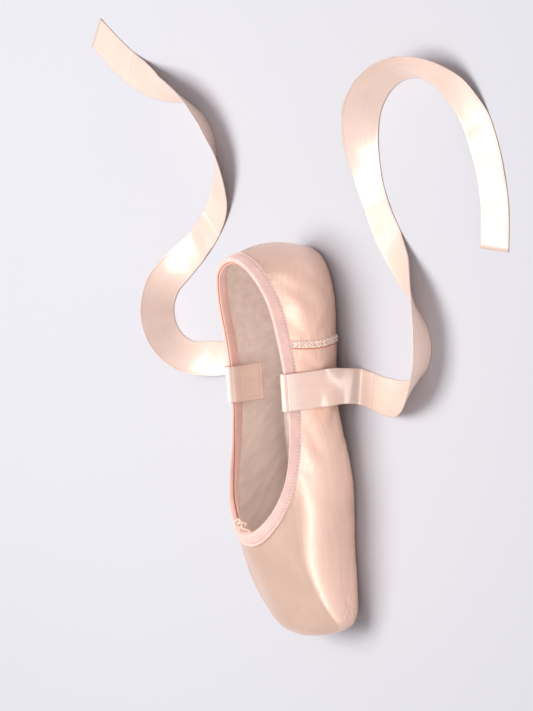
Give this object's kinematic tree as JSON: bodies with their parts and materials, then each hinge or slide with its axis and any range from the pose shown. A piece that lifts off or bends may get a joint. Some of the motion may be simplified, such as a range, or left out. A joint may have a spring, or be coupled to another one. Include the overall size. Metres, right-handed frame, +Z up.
{
  "type": "pointe shoe",
  "caption": "Peach satin pointe shoe, empty and standing on its sole, with binding, drawstring knot, leather outsole and loose satin ribbons.",
  "frame": {"origin": "on the floor, under the middle of the shoe's own length and width, ribbons and drawstring left out", "axes": "+X from heel to toe, +Y to the shoe's left, +Z up"},
  "size_m": [0.3838, 0.3984, 0.0678],
  "materials": {
    "satin": "glossy satin",
    "binding_tape": "matte tape",
    "sole_leather": "matte suede",
    "insole_board": "matte sock",
    "ribbon_satin": "glossy satin",
    "cotton_cord": "matte cord"
  },
  "bodies": {
    "root": {"upper": "satin", "outsole": "sole_leather", "insole": "insole_board", "binding": "binding_tape", "ribbon_left": "ribbon_satin", "ribbon_right": "ribbon_satin", "drawstring": "cotton_cord"}
  },
  "joints": []
}
